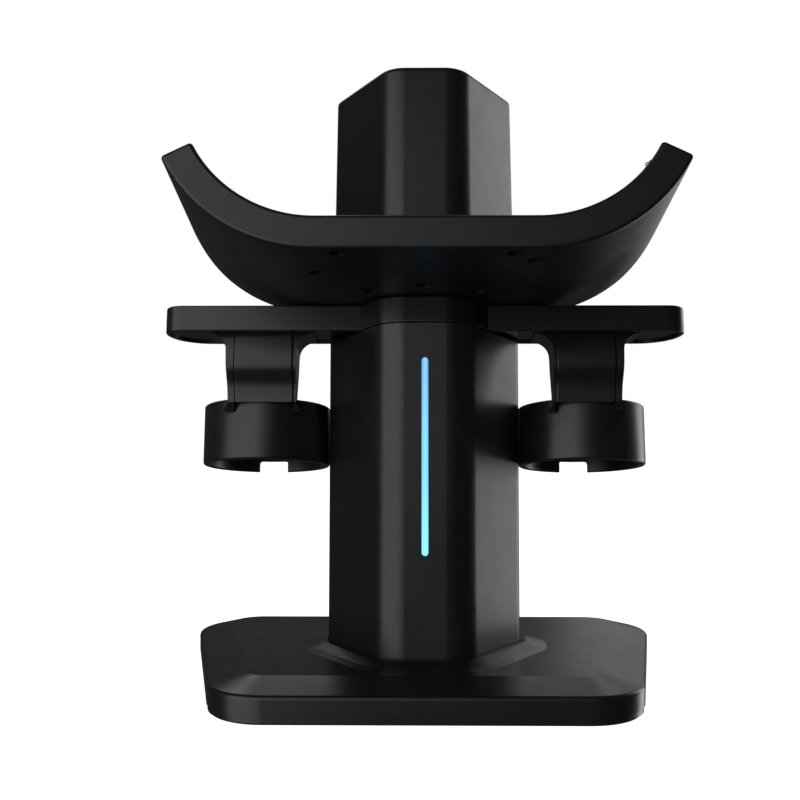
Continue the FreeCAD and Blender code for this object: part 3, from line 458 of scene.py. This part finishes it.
def screw_tree():
    """Tree that puts a pan-head screw on every point, its head behind the seat."""
    tree, sizes, out = new_tree("pan_head_screws", [
        ("Head radius", "Float", 0.00275), ("Head height", "Float", 0.0017),
        ("Socket radius", "Float", 0.0009), ("Shank radius", "Float", 0.00145),
        ("Shank length", "Float", 0.006), ("Pitch", "Float", 0.0008),
        ("Turn", "Vector", (0.0, 0.0, 0.0)), ("Finish", "Material", None)])
    height = sizes["Head height"]
    head = step(tree, "GeometryNodeMeshCylinder", [
        ("Vertices", 40), ("Side Segments", 8), ("Fill Segments", 1),
        ("Radius", sizes["Head radius"]), ("Depth", height)])["Mesh"]
    place = step(tree, "ShaderNodeSeparateXYZ",
                 [(0, step(tree, "GeometryNodeInputPosition")[0])])
    outwards = sum_of(tree, "DIVIDE", place["Z"], height)
    dome = sum_of(tree, "MAXIMUM", sum_of(tree, "MULTIPLY", outwards, -2.0), 0.0)
    inset = sum_of(tree, "SUBTRACT", 1.0, sum_of(tree, "MULTIPLY", sum_of(tree, "POWER", dome, 2.5), 0.26))
    shaped = step(tree, "ShaderNodeCombineXYZ", [
        (0, sum_of(tree, "MULTIPLY", place["X"], inset)),
        (1, sum_of(tree, "MULTIPLY", place["Y"], inset)), (2, place["Z"])])[0]
    head = step(tree, "GeometryNodeSetPosition", [("Geometry", head), ("Position", shaped)])[0]
    lift = step(tree, "ShaderNodeCombineXYZ", [(2, sum_of(tree, "MULTIPLY", height, -0.5))])[0]
    head = step(tree, "GeometryNodeTransform", [("Geometry", head), ("Translation", lift)])[0]
    hexagon = step(tree, "GeometryNodeMeshCylinder", [
        ("Vertices", 6), ("Side Segments", 1), ("Fill Segments", 1),
        ("Radius", sizes["Socket radius"]), ("Depth", height)])["Mesh"]
    sink = step(tree, "ShaderNodeCombineXYZ", [(2, sum_of(tree, "MULTIPLY", height, -0.95))])[0]
    hexagon = step(tree, "GeometryNodeTransform", [("Geometry", hexagon), ("Translation", sink)])[0]
    head = step(tree, "GeometryNodeMeshBoolean", [("Mesh 1", head), ("Mesh 2", hexagon)],
                operation="DIFFERENCE")["Mesh"]
    length = sizes["Shank length"]
    shank = step(tree, "GeometryNodeMeshCylinder", [
        ("Vertices", 20), ("Side Segments", 48), ("Fill Segments", 1),
        ("Radius", sizes["Shank radius"]), ("Depth", length)])["Mesh"]
    angle = sum_of(tree, "ARCTAN2", place["Y"], place["X"])
    climb = sum_of(tree, "MULTIPLY", sum_of(tree, "DIVIDE", place["Z"], sizes["Pitch"]), 2 * math.pi)
    wave = sum_of(tree, "SINE", sum_of(tree, "ADD", climb, angle))
    cut = sum_of(tree, "ADD", sum_of(tree, "MULTIPLY", wave, 0.06), 0.94)
    threaded = step(tree, "ShaderNodeCombineXYZ", [
        (0, sum_of(tree, "MULTIPLY", place["X"], cut)),
        (1, sum_of(tree, "MULTIPLY", place["Y"], cut)), (2, place["Z"])])[0]
    shank = step(tree, "GeometryNodeSetPosition", [("Geometry", shank), ("Position", threaded)])[0]
    drop = step(tree, "ShaderNodeCombineXYZ", [(2, sum_of(tree, "MULTIPLY", length, 0.5))])[0]
    shank = step(tree, "GeometryNodeTransform", [("Geometry", shank), ("Translation", drop)])[0]
    both = step(tree, "GeometryNodeJoinGeometry", [(0, head)])
    tree.links.new(shank, both[0].node.inputs[0])
    turned = step(tree, "FunctionNodeEulerToRotation", [(0, sizes["Turn"])])[0]
    copies = step(tree, "GeometryNodeInstanceOnPoints", [
        ("Points", sizes["Geometry"]), ("Instance", both[0]), ("Rotation", turned)])[0]
    real = step(tree, "GeometryNodeRealizeInstances", [("Geometry", copies)])[0]
    done = step(tree, "GeometryNodeSetMaterial", [("Geometry", real), ("Material", sizes["Finish"])])[0]
    tree.links.new(done, out)
    return tree


screws = screw_tree()
print("screw tree has", len(screws.nodes), "nodes")

# %% [markdown]
# ### Where the screws sit
# Six hold the base, four the spine's flange, four the column, four the arms, seven the tray and
# four the pillar. The points are the seats under the heads; the turn points the shank into the
# part. Screws on the leaning head lean with it.

# %% The six sets of screws
PLATE_SEAT = 2.7
SPINE_DEPTH = 1.5
SPLIT_SEAT = 47.0
TRAY_SEAT = 13.2
ARM_SEAT = 2.65
ARM_ACROSS = 62.35
FLANGE_CIRCLE = 14.0
base_seats = [Vector((side * x, y, PLATE_SEAT)) * MM
              for side in (1, -1) for x, y in ((58, -42), (84, 20), (82, 60))]
flange_reach = FLANGE_CIRCLE * math.sqrt(0.5)
flange_seats = [Vector((a * flange_reach, SPINE_DEPTH + b * flange_reach, PLATE_SEAT)) * MM
                for a in (1, -1) for b in (1, -1)]
column_seats = [Vector((x, COLUMN_FACE + SPLIT_SEAT, z)) * MM for z in (34, 104) for x in (-15, 15)]
arm_seats = [on_head(side * (ARM_ACROSS + shift), 28.0, ARM_SEAT) for side in (-1, 1) for shift in (-8, 8)]
tray_seats = [on_head(x, depth, TRAY_SEAT) for x, depth in (
    (-28.9, -49.7), (28.9, -49.7), (-36.8, -27.9), (36.1, -41.5), (-19.5, -4.5), (19.5, -4.5),
    (0.0, -11.7))]
pillar_seats = [on_head(x, SPLIT_SEAT, z) for z in (38, 84) for x in (-14, 14)]
UPRIGHT = (0.0, 0.0, 0.0)
FORWARD = (math.radians(90), 0.0, 0.0)
LEANT_UP = (-LEAN, 0.0, 0.0)
LEANT_DOWN = (math.pi - LEAN, 0.0, 0.0)
LEANT_FORWARD = (math.radians(90) - LEAN, 0.0, 0.0)
for name, seats, turn, shank in (
        ("base_screws", base_seats, UPRIGHT, 5.6), ("flange_screws", flange_seats, UPRIGHT, 3.6),
        ("column_screws", column_seats, FORWARD, 22.0), ("arm_screws", arm_seats, LEANT_DOWN, 8.0),
        ("cradle_screws", tray_seats, LEANT_UP, 6.6),
        ("pillar_screws", pillar_seats, LEANT_FORWARD, 22.0)):
    grown(f"{name}_fine", points_mesh(name, seats), screws,
          {"Turn": turn, "Shank length": shank * MM, "Finish": finishes["dark_screw"]},
          "stand", "dark_screw", name)

# %% [markdown]
# ### The row of light chips
# Twelve chips feed the light bar. A mesh line gives the points, and each point gets a white
# package with a raised window. The first chip's place and the step between two are the inputs.

# %% Twelve chips in a row


def chip_tree(count):
    """Tree that sets out a column of light chips."""
    tree, sizes, out = new_tree("light_chip_row", [
        ("First", "Vector", (0.0, 0.0, 0.0)), ("Step", "Vector", (0.0, 0.0, 0.006)),
        ("Package", "Vector", (0.0028, 0.0007, 0.0035)), ("Window", "Float", 0.0009),
        ("Finish", "Material", None)])
    row = step(tree, "GeometryNodeMeshLine", [
        ("Count", count), ("Start Location", sizes["First"]), ("Offset", sizes["Step"])])[0]
    package = step(tree, "GeometryNodeMeshCube", [("Size", sizes["Package"])])["Mesh"]
    window = step(tree, "GeometryNodeMeshCylinder", [
        ("Vertices", 24), ("Side Segments", 1), ("Fill Segments", 1),
        ("Radius", sizes["Window"]), ("Depth", 0.0009)])["Mesh"]
    window = step(tree, "GeometryNodeTransform", [
        ("Geometry", window), ("Rotation", Euler(FORWARD))])[0]
    both = step(tree, "GeometryNodeMeshBoolean", [("Mesh 2", package)], operation="UNION")["Mesh"]
    tree.links.new(window, both.node.inputs["Mesh 2"])
    copies = step(tree, "GeometryNodeInstanceOnPoints", [("Points", row), ("Instance", both)])[0]
    real = step(tree, "GeometryNodeRealizeInstances", [("Geometry", copies)])[0]
    done = step(tree, "GeometryNodeSetMaterial", [("Geometry", real), ("Material", sizes["Finish"])])[0]
    tree.links.new(done, out)
    return tree


CHIP_COUNT = 12
CHIP_DEPTH = 5.78
chip_step = (BAR_HIGH - BAR_LOW) / CHIP_COUNT
grown("light_chips_fine", points_mesh("light_chips", [(0, 0, 0)]), chip_tree(CHIP_COUNT),
      {"First": (0.0, (COLUMN_FACE + CHIP_DEPTH) * MM, BAR_LOW + chip_step / 2),
       "Step": (0.0, 0.0, chip_step), "Finish": finishes["led_chip"]},
      "stand", "led_chip", "light_leds")

# %% [markdown]
# ## The controller rings
# Each ring is a wall of one section carried round a circle, with a notch cut in the lower edge
# of its back. That is a rule, so a node tree makes it: a rounded rectangle is the profile, a
# circle the path, and a rounded bar cuts the notch. Cutting last keeps the lips evenly rounded.

# %% A ring from a profile, a path and a cutter
RING_ACROSS = 63.1
RING_BACK = 47.9
RING_TOP = -24.2
RING_TALL = 23.4
RING_MIDDLE = RING_TOP - RING_TALL / 2


def ring_tree():
    """Tree for an open ring with a notch in its back wall, leaning with the head."""
    tree, sizes, out = new_tree("controller_ring", [
        ("Outer radius", "Float", 0.0252), ("Wall", "Float", 0.003), ("Height", "Float", 0.0234),
        ("Lip", "Float", 0.0008), ("Notch width", "Float", 0.0092), ("Notch height", "Float", 0.006),
        ("Notch round", "Float", 0.0012), ("Turn", "Vector", (0.0, 0.0, 0.0)),
        ("Place", "Vector", (0.0, 0.0, 0.0)), ("Finish", "Material", None)])
    middle = sum_of(tree, "SUBTRACT", sizes["Outer radius"], sum_of(tree, "MULTIPLY", sizes["Wall"], 0.5))
    path = step(tree, "GeometryNodeCurvePrimitiveCircle", [("Resolution", 180), ("Radius", middle)])[0]
    section = step(tree, "GeometryNodeCurvePrimitiveQuadrilateral",
                   [("Width", sizes["Wall"]), ("Height", sizes["Height"])])[0]
    section = step(tree, "GeometryNodeFilletCurve", [
        ("Curve", section), ("Count", 5), ("Radius", sizes["Lip"])], mode="POLY")[0]
    wall = step(tree, "GeometryNodeCurveToMesh", [("Curve", path), ("Profile Curve", section)])[0]
    low = sum_of(tree, "MULTIPLY", sizes["Height"], -0.5)
    start = step(tree, "ShaderNodeCombineXYZ", [(1, sum_of(tree, "MULTIPLY", middle, 0.7)), (2, low)])[0]
    end = step(tree, "ShaderNodeCombineXYZ", [(1, sum_of(tree, "MULTIPLY", middle, 1.3)), (2, low)])[0]
    bar = step(tree, "GeometryNodeCurvePrimitiveLine", [("Start", start), ("End", end)])[0]
    mouth = step(tree, "GeometryNodeCurvePrimitiveQuadrilateral", [
        ("Width", sum_of(tree, "MULTIPLY", sizes["Notch height"], 2.0)),
        ("Height", sizes["Notch width"])])[0]
    mouth = step(tree, "GeometryNodeFilletCurve", [
        ("Curve", mouth), ("Count", 5), ("Radius", sizes["Notch round"])], mode="POLY")[0]
    cutter = step(tree, "GeometryNodeCurveToMesh", [
        ("Curve", bar), ("Profile Curve", mouth), ("Fill Caps", True)])[0]
    ring = step(tree, "GeometryNodeMeshBoolean", [("Mesh 1", wall), ("Mesh 2", cutter)],
                operation="DIFFERENCE")["Mesh"]
    turned = step(tree, "FunctionNodeEulerToRotation", [(0, sizes["Turn"])])[0]
    placed = step(tree, "GeometryNodeTransform", [
        ("Geometry", ring), ("Translation", sizes["Place"]), ("Rotation", turned)])[0]
    real = step(tree, "GeometryNodeRealizeInstances", [("Geometry", placed)])[0]
    done = step(tree, "GeometryNodeSetMaterial", [("Geometry", real), ("Material", sizes["Finish"])])[0]
    tree.links.new(done, out)
    return tree


rings = ring_tree()
for side, word in ((-1, "left"), (1, "right")):
    ring = grown(f"{word}_ring_fine", points_mesh(f"{word}_ring_start", [(0, 0, 0)]), rings,
                 {"Turn": LEANT_UP, "Place": tuple(on_head(side * RING_ACROSS, RING_BACK, RING_MIDDLE)),
                  "Finish": ring_black}, "stand", "black_shell", f"{word}_ring")

# %% [markdown]
# ## The soft pads
# Both pads are moulded silicone, so they have no hard edges. Each starts from the measured
# pad's own outline. Loops of that outline are drawn in and lowered along a half circle, which
# rolls the rim over, and then drawn in flat to the middle. Shallow grooves a few millimetres
# apart are sunk into the face, which leaves low ribs that grip the headset or the table.

# %% Rolled rims and grip ribs
RIM_PLACES = 360
FACE_LOOPS = 26
ROLL_STEPS = 8


def outline_of(item, normal):
    """Corners, in order, of the flat face of a measured part that looks along a direction."""
    mesh = bmesh.new()
    mesh.from_mesh(item.data)
    bmesh.ops.remove_doubles(mesh, verts=mesh.verts, dist=1e-6)
    facing = [face for face in mesh.faces if face.normal.dot(normal) > 0.999]
    rims = {}
    for face in facing:
        for loop in face.loops:
            others = [near for near in loop.edge.link_faces if near not in facing]
            if others:
                rims[loop.vert.index] = (loop.vert.co.copy(), loop.edge.other_vert(loop.vert).index)
    first = here = next(iter(rims))
    corners = []
    while True:
        corners.append(rims[here][0])
        here = rims[here][1]
        if here == first or here not in rims:
            break
    mesh.free()
    return corners


def evenly(corners, count):
    """Places evenly spaced along a closed outline."""
    lengths = [(corners[(i + 1) % len(corners)] - corners[i]).length for i in range(len(corners))]
    pace = sum(lengths) / count
    places, left = [], 0.0
    for i, length in enumerate(lengths):
        while left < length and len(places) < count:
            places.append(corners[i].lerp(corners[(i + 1) % len(corners)], left / length))
            left += pace
        left -= length
    return places


def soft_pad(name, node, normal, thick, rib_pitch, rib_high):
    """Silicone pad with a rolled rim and ribs across its face, made from a pad's outline."""
    up = Vector(normal).normalized()
    rim = evenly(outline_of(nodes[node], up), RIM_PLACES)
    middle = sum(rim, Vector()) / RIM_PLACES
    roll = thick * 0.5
    mesh = bmesh.new()

    def loop_at(share, drop):
        return [mesh.verts.new(middle + (place - middle) * share - up * drop) for place in rim]

    reach = min((place - middle).length for place in rim)
    loops = []
    for k in range(ROLL_STEPS + 1):
        turn = math.pi * k / ROLL_STEPS
        loops.append(loop_at(1 - roll * (1 - math.sin(turn)) / reach, roll * (1 + math.cos(turn))))
    edge = 1 - roll / reach
    for k in range(1, FACE_LOOPS):
        loops.append(loop_at(edge * (1 - k / FACE_LOOPS), 0.0))
    for low, high in zip(loops, loops[1:]):
        for i in range(RIM_PLACES):
            after = (i + 1) % RIM_PLACES
            mesh.faces.new((low[i], low[after], high[after], high[i]))
    mesh.faces.new(list(reversed(loops[0])))
    tip = mesh.verts.new(middle)
    for i in range(RIM_PLACES):
        mesh.faces.new((loops[-1][i], loops[-1][(i + 1) % RIM_PLACES], tip))
    for loop in loops[ROLL_STEPS + 1:]:
        for vert in loop:
            wave = math.cos(2 * math.pi * (vert.co.x - middle.x) / rib_pitch)
            vert.co -= up * rib_high * (0.5 - 0.5 * wave)
    bmesh.ops.recalc_face_normals(mesh, faces=mesh.faces)
    data = bpy.data.meshes.new(name)
    mesh.to_mesh(data)
    mesh.free()
    data.materials.append(finishes["soft_pad"])
    smooth(data, 40.0)
    item = bpy.data.objects.new(name, data)
    bpy.context.collection.objects.link(item)
    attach(item, "stand")
    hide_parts(node)
    print(f"{name}: {len(data.polygons)} faces, rim {len(rim)} places")
    return item


soft_pad("cradle_pad_fine", "cradle_pad", (0, math.sin(LEAN), math.cos(LEAN)), 0.0008, 0.003, 0.0002)
soft_pad("non_slip_pad_fine", "non_slip_pad", (0, 0, -1), 0.0010, 0.006, 0.0003)

# %% [markdown]
# ## Floor, light and camera
# The stand is shown on a white floor. Five soft lights shape the black plastic, because
# a black part is only as visible as what it reflects: a cool one on the left gives the bands on
# the column's rounded corner, a warm one at the right and a little behind lights the right-hand
# facets, and one high at the back draws the bevels. Two dim ones lift the front faces and the
# right half of the deck. The floor is kept out of the reflections, so undersides stay dark.

# %% Floor


def pale_floor():
    """Large white floor that only the camera sees."""
    mesh = bpy.data.meshes.new("floor")
    reach = 30.0
    mesh.from_pydata([(-reach, -reach, 0), (reach, -reach, 0), (reach, reach, 0), (-reach, reach, 0)],
                     [], [(0, 1, 2, 3)])
    floor = bpy.data.objects.new("floor", mesh)
    bpy.context.collection.objects.link(floor)
    material, tree, shader, place = fresh_finish("white_floor")
    tree.links.new(blended(tree, noise(tree, place, 3.0), (0.86, 0.86, 0.86), (0.9, 0.9, 0.9)),
                   shader.inputs["Base Color"])
    shader.inputs["Roughness"].default_value = 1.0
    shader.inputs["Specular IOR Level"].default_value = 0.0
    shader.inputs["Emission Color"].default_value = (1.0, 1.0, 1.0, 1.0)
    shader.inputs["Emission Strength"].default_value = 1.05
    mesh.materials.append(material)
    floor.visible_diffuse = False
    floor.visible_glossy = False
    floor.visible_shadow = False
    return floor


pale_floor()
print("floor laid")

# %% Soft lights


def soft_light(name, azimuth, distance, height, wide, tall, radiance, colour, aim=0.12):
    """Rectangular light at a bearing from the front, turned to the stand."""
    data = bpy.data.lights.new(name, "AREA")
    data.shape = "RECTANGLE"
    data.size = wide
    data.size_y = tall
    data.energy = radiance * math.pi * wide * tall
    data.color = colour
    light = bpy.data.objects.new(name, data)
    turn = math.radians(azimuth)
    light.location = (distance * math.sin(turn), -distance * math.cos(turn), height)
    towards = Vector((0, 0, aim)) - light.location
    light.rotation_euler = towards.to_track_quat("-Z", "Y").to_euler()
    light.visible_camera = False
    bpy.context.collection.objects.link(light)
    return light


COOL = (0.93, 0.94, 1.0)
WARM = (1.0, 0.96, 0.93)
soft_light("left_box", -42.0, 1.1, 0.30, 1.35, 1.5, 1.55, COOL, 0.2)
soft_light("front_box", -6.0, 1.3, 0.45, 0.6, 1.3, 0.42, COOL, 0.15)
soft_light("right_box", 124.0, 1.0, 0.10, 0.42, 1.3, 2.6, WARM, 0.12)
soft_light("back_box", 182.0, 1.0, 1.0, 1.2, 0.45, 1.7, (1.0, 1.0, 1.0))
soft_light("rear_right_box", 156.0, 1.2, 0.40, 0.6, 0.5, 0.55, WARM)
world = bpy.data.worlds.new("studio")
bpy.context.scene.world = world
world.use_nodes = True
sky = world.node_tree.nodes["Background"]
sky.inputs["Color"].default_value = (1.0, 1.0, 1.0, 1.0)
dim = world.node_tree.nodes.new("ShaderNodeBackground")
dim.inputs["Strength"].default_value = 0.06
ray = world.node_tree.nodes.new("ShaderNodeLightPath")
choose = world.node_tree.nodes.new("ShaderNodeMixShader")
world.node_tree.links.new(ray.outputs["Is Camera Ray"], choose.inputs[0])
world.node_tree.links.new(dim.outputs[0], choose.inputs[1])
world.node_tree.links.new(sky.outputs[0], choose.inputs[2])
world.node_tree.links.new(choose.outputs[0], world.node_tree.nodes["World Output"].inputs[0])
bpy.context.scene.view_settings.view_transform = "Standard"

# %% [markdown]
# ## Camera
# A level 50 mm view from a little over forty centimetres, at about half the stand's height and
# a hair to the left of its middle.

# %% The camera
camera_data = bpy.data.cameras.new("camera")
camera_data.lens = 50.0
camera_data.sensor_width = 36.0
camera = bpy.data.objects.new("camera", camera_data)
camera.location = (-0.0044, -0.4345, 0.1115)
camera.rotation_euler = (math.radians(90.0), 0.0, math.radians(0.67))
bpy.context.collection.objects.link(camera)
bpy.context.scene.camera = camera
print("camera at", tuple(round(v, 4) for v in camera.location))
